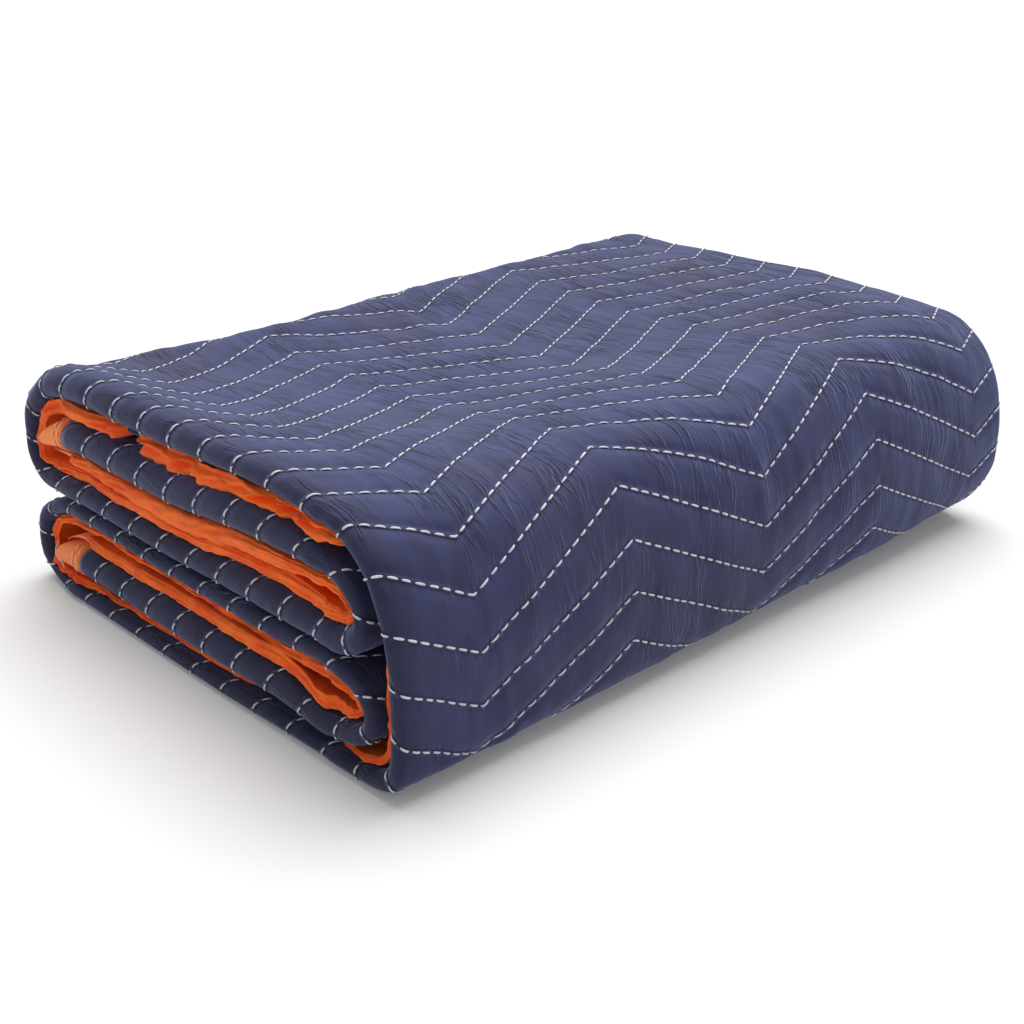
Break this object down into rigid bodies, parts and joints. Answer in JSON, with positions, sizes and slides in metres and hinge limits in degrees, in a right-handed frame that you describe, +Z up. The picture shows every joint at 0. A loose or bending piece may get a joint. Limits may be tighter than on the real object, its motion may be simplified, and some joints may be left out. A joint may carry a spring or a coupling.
{
  "type": "folded moving blanket",
  "caption": "Quilted moving blanket with bound edges, folded into a flat layered bundle for padding and wrapping goods.",
  "frame": {"origin": "middle of the underside", "axes": "+X across the bundle towards the big round front fold, +Y along the bundle away from the end that shows the layers, +Z up"},
  "size_m": [0.3399, 0.506, 0.1397],
  "materials": {
    "navy_cloth": "quilted, matte with a slight sheen",
    "orange_tape": "woven tape, slight sheen"
  },
  "bodies": {
    "root": {"quilted_panel": "navy_cloth", "near_edge_binding": "orange_tape", "inner_edge_binding": "orange_tape", "upper_end_binding": "orange_tape", "lower_end_binding": "orange_tape"}
  },
  "joints": []
}
